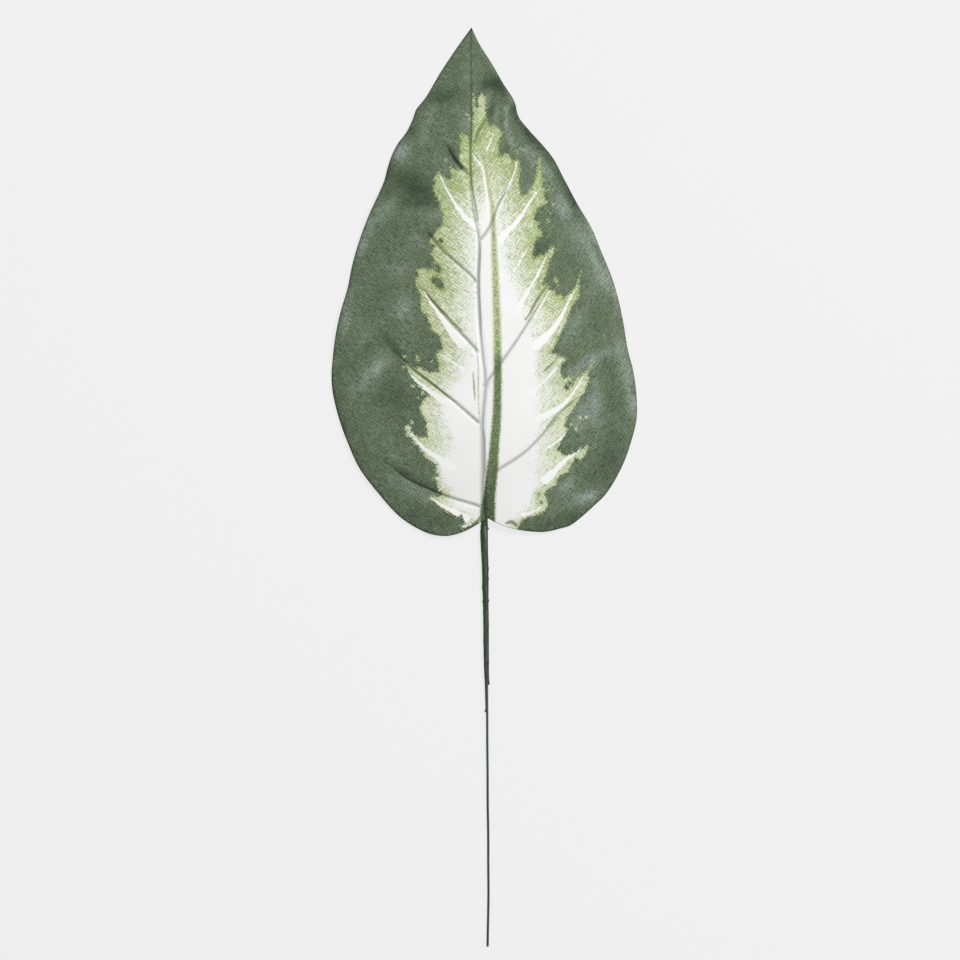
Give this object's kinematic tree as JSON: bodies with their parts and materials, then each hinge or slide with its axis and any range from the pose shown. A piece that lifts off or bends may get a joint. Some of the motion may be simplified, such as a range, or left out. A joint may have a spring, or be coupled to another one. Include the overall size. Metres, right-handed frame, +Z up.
{
  "type": "artificial dieffenbachia leaf",
  "caption": "Single artificial dieffenbachia leaf: a printed cloth blade with pressed veins on a moulded green petiole and a straight lacquered wire stem, lying face up.",
  "frame": {"origin": "on the surface that the leaf lies on, under the middle of the part's box", "axes": "+Y towards the leaf's tip, +X to the right of the blade seen from above, +Z up, out of the blade's face"},
  "size_m": [0.1995, 0.6, 0.0096],
  "materials": {
    "printed_cloth": "matte",
    "petiole_plastic": "satin",
    "lacquered_wire": "satin"
  },
  "bodies": {
    "root": {"leaf_blade": "printed_cloth", "petiole": "petiole_plastic", "stem_wire": "lacquered_wire"}
  },
  "joints": []
}
